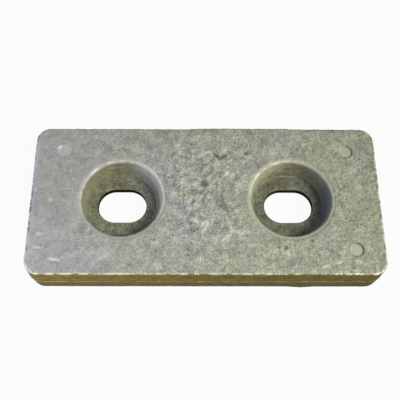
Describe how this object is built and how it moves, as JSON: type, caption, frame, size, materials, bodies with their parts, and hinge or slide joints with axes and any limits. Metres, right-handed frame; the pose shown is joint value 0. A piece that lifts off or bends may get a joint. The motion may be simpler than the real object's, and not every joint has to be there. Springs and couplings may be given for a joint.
{
  "type": "sacrificial anode",
  "caption": "Cast zinc hull anode on a slotted steel strap, with round recesses that a washer and nut go into.",
  "frame": {"origin": "middle of the back face, which goes against the hull", "axes": "+X along the block and the line of the slots, +Y across it, +Z away from the hull"},
  "size_m": [0.207, 0.0944, 0.025],
  "materials": {
    "cast_zinc": "as-cast zinc, dull grey with a mottled oxide bloom, pits and bright worn edges",
    "strap_steel": "galvanised mild steel strap, dull grey, stained with a thin film of zinc"
  },
  "bodies": {
    "root": {"zinc_casting": "cast_zinc", "steel_strap": "strap_steel"}
  },
  "joints": []
}
